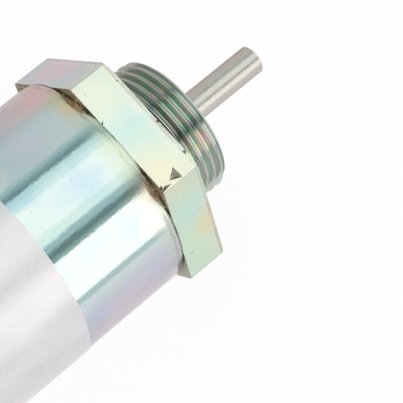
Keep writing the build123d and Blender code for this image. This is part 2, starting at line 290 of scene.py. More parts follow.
hexFinish = {
    "film": [(0.0, "#eaf8fa"), (0.3, "#f4fbf2"), (0.6, "#f6f8ea"), (0.9, "#faf5ea")],
    "edgeRange": (1.01, 1.15),  # shares of the flats' distance from the axis
    "edgeShare": 0.5,
    "edgeHaze": 0.0,
    "glance": [(0.0, "#ffffff"), (0.35, "#fbfffb"), (0.42, "#fbfff8"), (0.65, "#fbfbff"), (1.0, "#ffffff")],
    "relief": 0.0025 * mm,
    "waves": 3,
    "stains": (0.63, 0.77),
    "roughness": (0.16, 0.24),
    "blushes": [
        # painted shade: a darker, bluer patch over the upper +Y flat
        ((-3.2 * mm, 20.0 * mm, 9.0 * mm), 18 * mm, "#dcebf3"),
        ((-3.2 * mm, 17.6 * mm, 5.5 * mm), 5 * mm, "#f8e6ee"),
        ((-3.0 * mm, 15.3 * mm, 9.4 * mm), 5 * mm, "#f8e6ee"),
        # painted light and green film tint: lighter, greener patches over the upper -Y flat
        ((-3.5 * mm, -16.6 * mm, 7.0 * mm), 15 * mm, "#effee4"),
        ((-3.5 * mm, -14.1 * mm, 11.6 * mm), 5.5 * mm, "#e2fdf2"),
        ((-0.6 * mm, -16.4 * mm, 7.6 * mm), 4.5 * mm, "#fff0c4"),
        ((-4.6 * mm, 7.4 * mm, 20.5 * mm), 7.5 * mm, "#fffce6"),
        ((-5.5 * mm, -8.0 * mm, 18.0 * mm), 7 * mm, "#fdf6da"),
        ((0.0 * mm, 2.0 * mm, 18.0 * mm), 2.5 * mm, "#f6faec"),
    ],
    "rings": [  # a warm front end and a duller line just behind its edge
        (0.0, 2.2 * mm, "#fbf8e6", 0.5, 1.0 * mm),
        (-0.5 * mm, 0.3 * mm, "#b6b7a3", 0.5, 0.2 * mm),
    ],
}


def edgeOfTube(tree, place):  # 0 along the tube, 1 at its front end, where the film is thicker
    along = addNode(tree, "SeparateXYZ", inputs={0: place}).outputs["X"]
    low = canHigh.x - tubeFinish["endReach"]
    return addNode(tree, "MapRange", {}, [along, low, canHigh.x, 0.0, 1.0]).outputs[0]


def distanceFromAxis(tree, place):
    parts = addNode(tree, "SeparateXYZ", inputs={0: place}).outputs
    across = addNode(tree, "CombineXYZ", inputs={"Y": parts["Y"], "Z": parts["Z"]}).outputs[0]
    return addNode(tree, "VectorMath", {"operation": "LENGTH"}, {0: across}).outputs["Value"]


def edgeOfHexagon(tree, place):  # 0 in the middle of a flat, 1 at its corners
    low, high = (share * housingHigh.z for share in hexFinish["edgeRange"])
    return addNode(tree, "MapRange", {}, [distanceFromAxis(tree, place), low, high, 0.0, 1.0]).outputs[0]


def addBlushes(tree, place, wobble, colour, finish):  # round patches with uneven edges: thicker film, and in some of them painted light and shade
    uneven = zincFinish["blushWobble"]
    for centre, reach, tint in finish["blushes"]:
        settings = {"operation": "DISTANCE", 1: centre}
        away = addNode(tree, "VectorMath", settings, {0: place}).outputs["Value"]
        away = addNode(tree, "Math", multiplyAdd, [wobble, uneven, away]).outputs[0]
        near = addNode(tree, "MapRange", {}, [away, uneven / 2, reach + uneven / 2, 1.0, 0.0]).outputs[0]
        colour = addNode(tree, "Mix", cover, {0: near, 6: colour, 7: linear(tint)}).outputs[2]
    return colour


def addRings(tree, place, wobble, colour, finish):  # broken lines round the axis, which may wander along it
    along = addNode(tree, "SeparateXYZ", inputs={0: place}).outputs["X"]
    broken = addNode(tree, "MapRange", {}, [wobble, *zincFinish["ringBreaks"]]).outputs[0]
    shiver = patches(tree, place, zincFinish["shiverPatch"], 1, 0.5, (2, 6, 3))
    for station, half, tint, share, wander in finish["rings"]:
        strayed = addNode(tree, "Math", multiplyAdd, [shiver, wander, along]).outputs[0]
        offset = addNode(tree, "Math", subtract, [strayed, station + wander / 2]).outputs[0]
        away = addNode(tree, "Math", absolute, [offset]).outputs[0]
        near = addNode(tree, "MapRange", {}, [away, half / 2, half, share, 0.0]).outputs[0]
        line = addNode(tree, "Math", multiply, [near, broken]).outputs[0]
        colour = addNode(tree, "Mix", cover, {0: line, 6: colour, 7: linear(tint)}).outputs[2]
    return colour


def zincHeight(tree, place, finish):  # turning lines, a fine grain and long slow waves
    turning = patches(tree, place, zincFinish["turningLine"], 2)
    grain = patches(tree, place, zincFinish["grainPatch"], 3, 0.6)
    wave = patches(tree, place, zincFinish["wavePatch"], 2, 0.4, (4, 4, 1))
    height = addNode(tree, "Math", multiplyAdd, [grain, zincFinish["grainWeight"], turning]).outputs[0]
    return addNode(tree, "Math", multiplyAdd, [wave, finish["waves"], height]).outputs[0]


def zincPlate(name, finish, edge):
    # Steel with clear-passivated zinc: a bright satin metal whose thin film gives pale blue, yellow and pink
    # blushes, stronger at edges and at a glance, with painted light and shade in some blushes and rings, over
    # fine turning lines and a few stains
    material, tree, shader, place = startMaterial(name, {"Metallic": 1.0})
    share = finish["edgeShare"]
    cloud = patches(tree, place, zincFinish["filmPatch"], 3)
    cloud = addNode(tree, "MapRange", {}, [cloud, *zincFinish["filmRange"], 0.0, 1.0 - share]).outputs[0]
    thickness = addNode(tree, "Math", multiplyAdd, [edge(tree, place), share, cloud]).outputs[0]
    film = fillRamp(addNode(tree, "ValToRGB", {}, [thickness]), finish["film"])
    facing = addNode(tree, "LayerWeight", {"Blend": 0.5}).outputs["Facing"]
    glance = fillRamp(addNode(tree, "ValToRGB", {}, [facing]), finish["glance"])
    wobble = patches(tree, place, zincFinish["wobblePatch"], 3, 0.5, (1, 2, 3))
    colour = addNode(tree, "Mix", tintBy, {0: 1.0, 6: linear(zincFinish["tint"]), 7: film}).outputs[2]
    colour = addBlushes(tree, place, wobble, colour, finish)
    colour = addNode(tree, "Mix", tintBy, {0: 1.0, 6: colour, 7: glance}).outputs[2]
    colour = addRings(tree, place, wobble, colour, finish)
    stain = patches(tree, place, zincFinish["stainPatch"], 4, 0.6, (3, 1, 2))
    marks = addNode(tree, "MapRange", {}, [stain, *finish["stains"], *zincFinish["stainShares"]]).outputs[0]
    colour = addNode(tree, "Mix", cover, {0: marks, 6: colour, 7: linear(zincFinish["stainTint"])}).outputs[2]
    haze = patches(tree, place, zincFinish["hazePatch"], 5, 0.6, (7, 2, 5))
    dull = addNode(tree, "MapRange", {}, [haze, *mostNoise, *finish["roughness"]]).outputs[0]
    dull = addNode(tree, "Math", multiplyAdd, [edge(tree, place), finish["edgeHaze"], dull]).outputs[0]
    height = zincHeight(tree, place, finish)
    finishShader(tree, shader, {"Base Color": colour, "Roughness": dull}, height, 1.0, finish["relief"])
    return material


threadFinish = {
    "grooveTint": "#a9c3ae",
    "greyTint": "#bbacb1",  # violet grey clouds in the green film
    "greyPatch": (2.2 * mm, 2.2 * mm, 2.2 * mm),
    "greyRange": (0.46, 0.6),
    "greyShare": 0.75,
    "sides": [  # angle from the top, half width, share, tint: painted light on one side and painted shade on the other
        (-60, 30, 0.45, "#e6efe4"),
        (36, 26, 0.2, "#8aa090"),
    ],
    # painted shade in the run-out beside the hexagon's front face, on one side of the thread
    "runOutShadeTint": "#4d4c3e",
    "runOut": (1.8 * mm, 4.2 * mm),
    "runOutShadePlace": (-14, 36, 1.0),  # angle from the top, half width, share
    "crestTint": "#cac2be",
    "crestRange": (11.65 * mm, 11.97 * mm),
    "endTint": "#c3cac3",
    "endRange": (6.9 * mm, 7.7 * mm),
    "endShares": (0.0, 0.8),
    "glints": [
        (0.34, "#b8c6da"), (0.42, "#a9c3ae"), (0.47, "#b6c29f"), (0.5, "#e6d4a0"), (0.545, "#e4b3a0"),
        (0.58, "#d2bcd2"), (0.63, "#b2c8de"), (0.7, "#a9c3ae"),
    ],
    "glintPatch": (0.7 * mm, 1.7 * mm, 1.7 * mm),
    "glintPlaces": [(12, 10, 0.8), (-12, 12, 0.35), (-36, 14, 0.9)],  # angle from the top, half width, share
    "hazePatch": (0.8 * mm, 0.8 * mm, 0.8 * mm),
    "roughness": (0.12, 0.22),
    "relief": 0.02 * mm,
}


def zincThread(name):
    # Rolled thread, zinc plated: thicker film in the grooves is dull green and violet grey, with painted
    # shade in the run-out beside the hexagon and painted light and shade on two sides; the crests are rubbed
    # bright, and small painted rainbow glints lie in a few places
    material, tree, shader, place = startMaterial(name, {"Metallic": 1.0})
    finish = threadFinish
    parts = addNode(tree, "SeparateXYZ", inputs={0: place}).outputs
    angle = addNode(tree, "Math", {"operation": "ARCTAN2"}, [parts["Y"], parts["Z"]]).outputs[0]

    def nearAngle(middleAngle, half, share):
        offset = addNode(tree, "Math", subtract, [angle, math.radians(middleAngle)]).outputs[0]
        away = addNode(tree, "Math", absolute, [offset]).outputs[0]
        reach = math.radians(half)
        return addNode(tree, "MapRange", {}, [away, reach / 3, reach, share, 0.0]).outputs[0]

    grey = patches(tree, place, finish["greyPatch"], 2, 0.5, (5, 1, 6))
    grey = addNode(tree, "MapRange", {}, [grey, *finish["greyRange"], 0.0, finish["greyShare"]]).outputs[0]
    tints = {0: grey, 6: linear(finish["grooveTint"]), 7: linear(finish["greyTint"])}
    colour = addNode(tree, "Mix", cover, tints).outputs[2]
    film = patches(tree, place, finish["glintPatch"], 2, 0.5, (1, 4, 2))
    glints = fillRamp(addNode(tree, "ValToRGB", {}, [film]), finish["glints"])
    for glintPlace in finish["glintPlaces"]:
        near = nearAngle(*glintPlace)
        colour = addNode(tree, "Mix", cover, {0: near, 6: colour, 7: glints}).outputs[2]
    # painted light on one side of the thread, painted shade on the other
    for *paintedSidePlace, tint in finish["sides"]:
        near = nearAngle(*paintedSidePlace)
        colour = addNode(tree, "Mix", cover, {0: near, 6: colour, 7: linear(tint)}).outputs[2]
    # painted shade: the run-out beside the hexagon darkens on one side
    runOut = addNode(tree, "MapRange", {}, [parts["X"], *finish["runOut"], 1.0, 0.0]).outputs[0]
    dark = addNode(tree, "Math", multiply, [runOut, nearAngle(*finish["runOutShadePlace"])]).outputs[0]
    colour = addNode(tree, "Mix", cover, {0: dark, 6: colour, 7: linear(finish["runOutShadeTint"])}).outputs[2]
    height = distanceFromAxis(tree, place)
    crest = addNode(tree, "MapRange", {}, [height, *finish["crestRange"], 0.0, 1.0]).outputs[0]
    colour = addNode(tree, "Mix", cover, {0: crest, 6: colour, 7: linear(finish["crestTint"])}).outputs[2]
    end = addNode(tree, "MapRange", {}, [parts["X"], *finish["endRange"], *finish["endShares"]]).outputs[0]
    colour = addNode(tree, "Mix", cover, {0: end, 6: colour, 7: linear(finish["endTint"])}).outputs[2]
    haze = patches(tree, place, finish["hazePatch"], 4, 0.6)
    dull = addNode(tree, "MapRange", {}, [haze, *mostNoise, *finish["roughness"]]).outputs[0]
    finishShader(tree, shader, {"Base Color": colour, "Roughness": dull}, haze, 0.2, finish["relief"])
    return material


darkenedZincFinish = {
    "streaks": (0.6 * mm, 0.5 * mm, 0.2 * mm),
    "sideTint": "#b3b3ab",  # lighter on the hexagon's -Y side
    "sideRange": (-17 * mm, -13 * mm),
    "sideShare": 0.65,
    "roughness": (0.55, 0.35),
    "relief": 0.05 * mm,
    # painted shade of the crevice on the hexagon's rear face, with stains in it
    "backShadeAndStains": [
        (0.34, "#4c4834"), (0.44, "#8a8566"), (0.49, "#967b67"), (0.54, "#b3b294"), (0.6, "#cfbcad"),
        (0.68, "#e6e3ce"),
    ],
    "dentDarkening": [(0.35, "#7c7968"), (0.5, "#a5a392"), (0.65, "#c9cbb9")],
}


def darkenedZinc(name, stains, metal):
    # Darkened zinc, rough, with olive brown streaks: on the hexagon's rear face it is painted shade of the
    # crevice with stains in it; in the dents it is darker zinc
    material, tree, shader, place = startMaterial(name, {"Metallic": metal})
    finish = darkenedZincFinish
    streaks = patches(tree, place, finish["streaks"], 4, 0.65, (5, 3, 1))
    dirt = fillRamp(addNode(tree, "ValToRGB", {}, [streaks]), stains)
    across = addNode(tree, "SeparateXYZ", inputs={0: place}).outputs["Y"]
    side = addNode(tree, "MapRange", {}, [across, *finish["sideRange"], finish["sideShare"], 0.0]).outputs[0]
    colour = addNode(tree, "Mix", cover, {0: side, 6: dirt, 7: linear(finish["sideTint"])}).outputs[2]
    dull = addNode(tree, "MapRange", {}, [streaks, *mostNoise, *finish["roughness"]]).outputs[0]
    finishShader(tree, shader, {"Base Color": colour, "Roughness": dull}, streaks, 0.5, finish["relief"])
    return material


barFinish = {"glanceTint": "#bcb8b4", "hazePatch": (2 * mm, 2 * mm, 2 * mm), "relief": 0.01 * mm}


def barMetal(name, tint, dark, lineSize, roughness):
    # Bare turned, ground or drawn metal: a plain tint with fine lines, slightly darker in the lines,
    # and a little duller at a glance, as an oiled surface is
    glance = linear(barFinish["glanceTint"])
    material, tree, shader, place = startMaterial(name, {"Metallic": 1.0, "Specular Tint": glance})
    lines = patches(tree, place, lineSize, 3, 0.6)
    colour = shadeBy(tree, lines, dark, tint)
    haze = patches(tree, place, barFinish["hazePatch"], 3)
    dull = addNode(tree, "MapRange", {}, [haze, *mostNoise, *roughness]).outputs[0]
    finishShader(tree, shader, {"Base Color": colour, "Roughness": dull}, lines, 0.3, barFinish["relief"])
    return material


mouldFinish = {"cloudPatch": (5 * mm, 5 * mm, 5 * mm), "relief": 0.03 * mm}


def mouldedSoft(name, tint, shade, grain, roughness, shaderSettings=None):
    # Moulded or cast non-metal: a fine grain in the mould face and a slow change of shade
    material, tree, shader, place = startMaterial(name, shaderSettings or {})
    cloud = patches(tree, place, mouldFinish["cloudPatch"], 3)
    colour = shadeBy(tree, cloud, shade, tint)
    fine = patches(tree, place, (grain, grain, grain), 3, 0.6)
    dull = addNode(tree, "MapRange", {}, [fine, *mostNoise, *roughness]).outputs[0]
    finishShader(tree, shader, {"Base Color": colour, "Roughness": dull}, fine, 0.25, mouldFinish["relief"])
    return material


wireFinish = {"Metallic": 0.85, "Roughness": 0.3, "Coat Weight": 0.5}
waveBand = math.tau / 20  # a wave texture has one band in this length at a scale of 1


def woundWire(name, tint, shade, pitch):
    # Enamelled copper wound in a layer: one ridge per turn of wire, glossy varnish over a warm metal
    material, tree, shader, place = startMaterial(name, wireFinish)
    bands = {"wave_type": "BANDS", "bands_direction": "X", "Scale": waveBand / pitch}
    turns = addNode(tree, "TexWave", bands, {"Vector": place}).outputs["Fac"]
    colour = addNode(tree, "Mix", cover, {0: turns, 6: linear(shade), 7: linear(tint)}).outputs[2]
    finishShader(tree, shader, {"Base Color": colour}, turns, 0.8, pitch / 3)
    return material


filmFinish = {
    "pale": "#edeaea",
    "grey": "#e1dfe0",
    "cloudPatch": (16 * mm, 7 * mm, 7 * mm),
    "dirtPatch": (0.5 * mm, 0.5 * mm, 0.5 * mm),
    "dirtRange": (0.73, 0.83),
    "dirtShare": 0.22,
    "dirtTint": "#a9a7a4",
    "finePatch": (0.12 * mm, 0.12 * mm, 0.12 * mm),
    "fineWeight": 0.04,
    "wavePatch": (9 * mm, 4 * mm, 4 * mm),
    "roughness": (0.26, 0.34),
    "relief": 0.12 * mm,
}


def satinFilm(name):
    # Label stock, here bare: pale grey satin polyester film, slightly wavy over the steel, with faint
    # fibres and a little handling dirt
    material, tree, shader, place = startMaterial(name, {"IOR": 1.5, "Metallic": 0.46})
    finish = filmFinish
    cloud = patches(tree, place, finish["cloudPatch"], 2)
    colour = shadeBy(tree, cloud, finish["grey"], finish["pale"])
    dirt = patches(tree, place, finish["dirtPatch"], 4, 0.65, (2, 5, 1))
    soiled = addNode(tree, "MapRange", {}, [dirt, *finish["dirtRange"], 0.0, finish["dirtShare"]]).outputs[0]
    colour = addNode(tree, "Mix", cover, {0: soiled, 6: colour, 7: linear(finish["dirtTint"])}).outputs[2]
    fine = patches(tree, place, finish["finePatch"], 2)
    dull = addNode(tree, "MapRange", {}, [fine, *mostNoise, *finish["roughness"]]).outputs[0]
    wave = patches(tree, place, finish["wavePatch"], 2, 0.4, (4, 4, 1))
    height = addNode(tree, "Math", multiplyAdd, [fine, finish["fineWeight"], wave]).outputs[0]
    finishShader(tree, shader, {"Base Color": colour, "Roughness": dull}, height, 0.5, finish["relief"])
    return material


canZinc = zincPlate("clearZincOnTube", tubeFinish, edgeOfTube)
hexZinc = zincPlate("clearZincOnHexagon", hexFinish, edgeOfHexagon)
threadZinc = zincThread("clearZincOnThread")
# painted shade of the crevice behind the hexagon, with stains in it
backShadeAndStainZinc = darkenedZinc("shadeAndStainsBehindHexagon", darkenedZincFinish["backShadeAndStains"], 0.85)
dentZinc = darkenedZinc("darkerZincInDents", darkenedZincFinish["dentDarkening"], 0.95)
groundSteel = barMetal("groundSteel", "#e4ddd5", "#dcd5cc", (0.25 * mm, 0.9 * mm, 0.9 * mm), (0.24, 0.32))
turnedSteel = barMetal("turnedSteel", "#b9b9bb", "#9c9c9f", (0.15 * mm, 9 * mm, 9 * mm), (0.28, 0.4))
springSteel = barMetal("springSteel", "#a3a4a8", "#7d7e83", (0.6 * mm, 0.1 * mm, 0.1 * mm), (0.3, 0.42))
bronze = barMetal("sinteredBronze", "#c89a62", "#a97b48", (0.2 * mm, 0.2 * mm, 0.2 * mm), (0.38, 0.52))
brass = barMetal("drawnBrass", "#d9bf7c", "#c4a660", (3 * mm, 0.1 * mm, 0.1 * mm), (0.2, 0.32))
nylonIor, rubberIor, tapeIor = {"IOR": 1.53}, {"IOR": 1.52}, {"IOR": 1.6}
blackNylon = mouldedSoft("mouldedBlackNylon", "#2b2b2e", "#232326", 0.18 * mm, (0.42, 0.58), nylonIor)
nitrileRubber = mouldedSoft("mouldedNitrileRubber", "#242424", "#1b1b1c", 0.25 * mm, (0.55, 0.75), rubberIor)
naturalNylon = mouldedSoft("mouldedNaturalNylon", "#e4ddcb", "#d8d0bc", 0.2 * mm, (0.4, 0.55), nylonIor)
fibreBoard = mouldedSoft("vulcanisedFibre", "#9a4a34", "#83392a", 0.1 * mm, (0.55, 0.7))
polyesterTape = mouldedSoft("polyesterTape", "#d9bd62", "#c9a94c", 0.3 * mm, (0.25, 0.4), tapeIor)
heavyCopper = woundWire("enamelledCopperHeavy", "#c8743f", "#7a3c1e", 0.9 * mm)
fineCopper = woundWire("enamelledCopperFine", "#b8683a", "#6e361c", 0.35 * mm)
labelFilm = satinFilm("satinPolyesterFilm")
print("materials made")

nodeFinish = {
    "pin_clip": springSteel,
    "plunger": turnedSteel,
    "guide_bush": bronze,
    "front_stop_washer": brass,
    "guide_tube": brass,
    "bobbin": naturalNylon,
    "pull_in_winding": heavyCopper,
    "hold_winding": fineCopper,
    "winding_tape": polyesterTape,
    "rear_pole": turnedSteel,
    "anti_stick_shim": brass,
    "disc_spring": springSteel,
    "rear_plate": turnedSteel,
    "terminal_pins": brass,
    "insulating_disc": fibreBoard,
    "front_o_ring": nitrileRubber,
    "rear_o_ring": nitrileRubber,
}
for nodeName, finish in nodeFinish.items():
    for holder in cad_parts[nodeName].material_slots:
        holder.material = finish


def dress(piece, body, slotName, node, *finishes):
    for finish in finishes:
        piece.data.materials.append(finish)
    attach(piece, body)
    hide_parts(node)
    print("made", piece.name)


housing = {
    "frontRounding": 0.3 * mm,
    "sideRounding": 0.2 * mm,
    "roundingSteps": 3,
    "rimWidth": 0.36 * mm,  # a little more than the front rounding
    "rimCuts": 26,
    "rimShare": 0.96,  # of the flats' distance from the axis
    "edgeNicks": 0.035 * mm,
    "nickSeed": 4,
    "frontReach": 0.01 * mm,  # what is nearer than this lies in the front face
    "cornerDepth": 0.4 * mm,
    "cornerAngle": 30,
    "coneSteps": 192,
    "dents": [  # x, y, radius on the flat, stretch, depth, turn in degrees
        (-3.85 * mm, -9.5 * mm, 1.3 * mm, 1.0, 0.45 * mm, 95),
        (-6.3 * mm, -10.15 * mm, 0.42 * mm, 3.2, 0.35 * mm, 8),
        (-6.9 * mm, -9.9 * mm, 0.5 * mm, 1.4, 0.4 * mm, 85),
        (-0.5 * mm, 7.1 * mm, 0.4 * mm, 1.0, 0.2 * mm, 10),
        (-0.15 * mm, -1.6 * mm, 0.4 * mm, 1.3, 0.3 * mm, 70),
        (-0.2 * mm, -2.5 * mm, 0.3 * mm, 1.0, 0.3 * mm, 20),
        (-0.3 * mm, -7.7 * mm, 0.4 * mm, 1.5, 0.3 * mm, 50),
        (-6.85 * mm, 3.4 * mm, 0.35 * mm, 1.5, 0.2 * mm, 50),
    ],
    "threadPitch": 1.5 * mm,
    "threadRadius": 12 * mm,
    "threadDepth": 0.92 * mm,
    "crestFlat": 0.19 * mm,
    "crestRounding": 0.05 * mm,
    "rootFlat": 0.375 * mm,
    "endChamfer": 0.85 * mm,
    "stepsPerTurn": 120,
    "sealRecess": 6 * mm,
    "recessChamfer": 0.3 * mm,
    "pinHole": 4.5 * mm,
    "tubeBore": 8.58 * mm,
    "boreDepth": 3 * mm,
    "spigotDrop": 1.53 * mm,  # the can's wall and a little play
    "grooveDepth": 1.6 * mm,
    "grooveWidth": 2.2 * mm,
    "sharpAngle": 28,
}


def makeHexagon():
    size = housing
    clearChoice()
    corner = housingHigh.z / math.cos(math.pi / 6)
    bpy.ops.mesh.primitive_cylinder_add(
        vertices=6, radius=corner, depth=-hexRear, location=(hexRear / 2, 0, 0), rotation=acrossToAlong)
    piece = bpy.context.object
    bpy.ops.object.transform_apply(location=True, rotation=True, scale=True)
    bpy.ops.object.mode_set(mode="EDIT")
    choose("EDGE", lambda edge: abs(edge.verts[0].co.x - edge.verts[1].co.x) > -hexRear / 2)  # the six sides
    bpy.ops.mesh.bevel(offset=size["sideRounding"], segments=size["roundingSteps"], affect="EDGES")
    choose("EDGE", lambda edge: middle(edge).x > -size["frontReach"] and len(edge.link_faces) == 2)
    bpy.ops.mesh.bevel(offset=size["frontRounding"], segments=size["roundingSteps"], affect="EDGES")
    # the front rim gets more points, which are then pushed a little out of line
    rim, inside = size["rimWidth"], size["rimShare"] * housingHigh.z
    choose("EDGE", lambda edge: middle(edge).x > -rim and edge.calc_length() > corner / 4)
    bpy.ops.mesh.subdivide(number_cuts=size["rimCuts"])
    choose("VERT", lambda vert: vert.co.x > -rim and radiusOf(vert.co) > inside)
    bpy.ops.transform.vertex_random(offset=size["edgeNicks"], seed=size["nickSeed"])
    bpy.ops.object.mode_set(mode="OBJECT")
    # a cone takes the front corners off; it reaches past the hexagon on every side
    slope = math.tan(math.radians(size["cornerAngle"]))
    front = corner - size["cornerDepth"] / slope
    wide, past = corner + 1 * mm, 0.5 * mm
    cone = spinOutline("cone", [
        (hexRear - past, 0),
        (hexRear - past, wide),
        ((front - wide) * slope, wide),
        (past, front - past / slope),
        (past, 0),
    ], steps=size["coneSteps"], closed=False)
    joinSolid(piece, cone, "INTERSECT")
    larger = 3  # the cutter is so many times as large as the dent, and stands out of the flat
    for x, y, radius, stretch, depth, turn in size["dents"]:  # three-sided dents in the upper flat
        clearChoice()
        bpy.ops.mesh.primitive_cone_add(
            vertices=3, radius1=0.0, radius2=larger * radius, depth=larger * depth, scale=(stretch, 1, 1),
            location=(x, y, housingHigh.z + (larger / 2 - 1) * depth), rotation=(0, 0, math.radians(turn)))
        joinSolid(piece, bpy.context.object, "DIFFERENCE")
    return piece


def makeThreadRod():
    size = housing
    pitch, spare = size["threadPitch"], 2  # turns past each end, cut off below
    slope = (pitch - size["crestFlat"] - size["rootFlat"]) / 2
    crest, root = size["threadRadius"], size["threadRadius"] - size["threadDepth"]
    start = hexRear / 2 - spare * pitch
    x = start + size["crestFlat"] / 2
    corners = [(start, crest), (x, crest, size["crestRounding"])]
    for step, radius in ((slope, root), (size["rootFlat"], root)):
        x += step
        corners.append((x, radius, size["crestRounding"]))
    corners += [(x + slope, crest, size["crestRounding"]), (start + pitch, crest)]
    rod = drawOutline("threadRod", corners, closed=False)
    bpy.ops.object.mode_set(mode="OBJECT")
    turn = rod.modifiers.new("thread", "SCREW")
    turn.axis = "X"
    turn.screw_offset = pitch
    turn.iterations = math.ceil((housingHigh.x - start) / pitch) + spare
    turn.steps = turn.render_steps = size["stepsPerTurn"]
    bpy.ops.object.modifier_apply(modifier=turn.name)
    bpy.ops.object.mode_set(mode="EDIT")
    bpy.ops.mesh.select_all(action="SELECT")
    bpy.ops.mesh.remove_doubles(threshold=samePlace)
    for cut, normal in ((hexRear / 2, (-1, 0, 0)), (housingHigh.x, (1, 0, 0))):
        bpy.ops.mesh.select_all(action="SELECT")
        bpy.ops.mesh.bisect(
            plane_co=(cut, 0, 0), plane_no=normal, use_fill=True, clear_outer=True, threshold=weldReach)
    bpy.ops.mesh.select_all(action="SELECT")
    bpy.ops.mesh.normals_make_consistent(inside=False)
    bpy.ops.object.mode_set(mode="OBJECT")
    return rod


def makeHousing():
    size = housing
    end, past = housingHigh.x, 1 * mm
    thread, chamfer = size["threadRadius"], size["endChamfer"]
    piece = makeThreadRod()
    piece.name = "threadedHousing"
    blank = spinOutline("blank", [
        (hexRear / 4, 0),
        (hexRear / 4, canRadius),
        (end - chamfer, thread + past),
        (end - chamfer, thread),
        (end, thread - chamfer),
        (end, 0),
    ], closed=False)
    joinSolid(piece, blank, "INTERSECT")
    joinSolid(piece, makeHexagon(), "UNION")
    spigot = canRadius - size["spigotDrop"]
    groove, half = (hexRear + housingLow.x) / 2, size["grooveWidth"] / 2
    tail = spinOutline("tail", [
        (hexRear / 2, 0),
        (hexRear / 2, spigot),
        (groove + half, spigot),
        (groove + half, spigot - size["grooveDepth"]),
        (groove - half, spigot - size["grooveDepth"]),
        (groove - half, spigot),
        (housingLow.x, spigot),
        (housingLow.x, 0),
    ], closed=False)
    joinSolid(piece, tail, "UNION")
    recess, mouth = size["sealRecess"], size["recessChamfer"]
    bore = spinOutline("bore", [
        (housingLow.x - past, 0),
        (housingLow.x - past, size["tubeBore"]),
        (-size["boreDepth"], size["tubeBore"]),
        (-size["boreDepth"], size["pinHole"]),
        (sealLow.x, size["pinHole"]),
        (sealLow.x, recess),
        (end - mouth, recess),
        (end + past, recess + past + mouth),
        (end + past, 0),
    ], closed=False)
    joinSolid(piece, bore, "DIFFERENCE")
    makeActive(piece)
    return piece


threadedHousing = makeHousing()
bpy.ops.object.shade_smooth_by_angle(angle=math.radians(housing["sharpAngle"]))
dress(threadedHousing, "housing", "plated_steel", "front_housing", hexZinc, threadZinc, backShadeAndStainZinc, dentZinc)

faceTests = {
    "slack": 0.01,  # share by which a face may lie outside the thread's radii, or lean out of a plane
    "backReach": 0.1 * mm,
    "backLean": -0.8,
    "dentDepth": (0.05 * mm, 0.6 * mm),
    "dentLean": 0.5,
    "rimPart": -1 * mm,  # in front of this, dents are told from the rim's rounding by a lean along Y
    "leanX": 0.04,
    "leanY": 0.2,
}


def onThread(face):
    place, slack = face.calc_center_median(), faceTests["slack"]
    root = (1 - slack) * (housing["threadRadius"] - housing["threadDepth"])
    crest = (1 + slack) * housing["threadRadius"]
    return place.x > housing["frontReach"] and root < radiusOf(place) < crest and face.normal.x < 1 - slack


def onBack(face):
    near = abs(face.calc_center_median().x - hexRear) < faceTests["backReach"]
    return near and face.normal.x < faceTests["backLean"]


def inDent(face):  # the slanting faces of the dents in the upper flat
    place, normal = face.calc_center_median(), face.normal
    slanting = faceTests["dentLean"] < normal.z < 1 - faceTests["slack"]
    if place.x < faceTests["rimPart"]:
        slanting = slanting and abs(normal.x) > faceTests["leanX"]
    else:
        slanting = slanting and abs(normal.y) > faceTests["leanY"]
    shallow, deep = faceTests["dentDepth"]
    return slanting and housingHigh.z - deep < place.z < housingHigh.z - shallow


bpy.ops.object.mode_set(mode="EDIT")
for index, test in ((1, onThread), (2, onBack), (3, inDent)):
    choose("FACE", test)
    threadedHousing.active_material_index = index
    bpy.ops.object.material_slot_assign()
bpy.ops.object.mode_set(mode="OBJECT")
# keeps the wide flats flat between their roundings
even = threadedHousing.modifiers.new("even", "WEIGHTED_NORMAL")
even.keep_sharp = True
bpy.ops.object.modifier_apply(modifier=even.name)

can = {
    "wall": 1.5 * mm,
    "bevelLength": 1.3 * mm,
    "bevelDepth": 0.25 * mm,
    "rimThickness": 1.2 * mm,
    "rimWidth": 1.8 * mm,
    "rimBend": 1.0 * mm,
    "frontRounding": 0.08 * mm,
    "edgeRounding": 0.1 * mm,
    "steps": 256,
}
bore = canRadius - can["wall"]
bevelEnd = canHigh.x - can["bevelLength"]
steelCan = spinOutline("steelCan", [
    (canHigh.x, bore),
    (canHigh.x, canRadius - can["bevelDepth"], can["frontRounding"]),
    (bevelEnd, canRadius, can["edgeRounding"]),
    (canLow.x, canRadius, can["rimBend"]),
    (canLow.x, bore - can["rimWidth"], can["edgeRounding"]),
    (canLow.x + can["rimThickness"], bore - can["rimWidth"]),
    (canLow.x + can["rimThickness"], bore),
], steps=can["steps"])
dress(steelCan, "housing", "can_steel", "can", canZinc)

label = {"wrap": 320, "steps": 200, "edgeRounding": 0.03 * mm}  # wrap in degrees round the can
labelPiece = drawOutline("label", [
    (labelLow.x, canRadius),
    (labelHigh.x, canRadius),
    (labelHigh.x, labelHigh.z, label["edgeRounding"]),
    (labelLow.x, labelHigh.z, label["edgeRounding"]),
])
halfSeam = math.radians((360 - label["wrap"]) / 2)
bpy.ops.mesh.select_all(action="SELECT")
bpy.ops.mesh.spin(steps=label["steps"], angle=math.radians(label["wrap"]), center=(0, 0, 0), axis=(1, 0, 0))
bpy.ops.mesh.select_all(action="SELECT")
bpy.ops.mesh.fill_holes(sides=20)  # the two ends of the strip
bpy.ops.transform.rotate(value=math.pi + halfSeam, orient_axis="X", center_override=(0, 0, 0))
finishSpin(labelPiece)
dress(labelPiece, "housing", "label_film", "label", labelFilm)

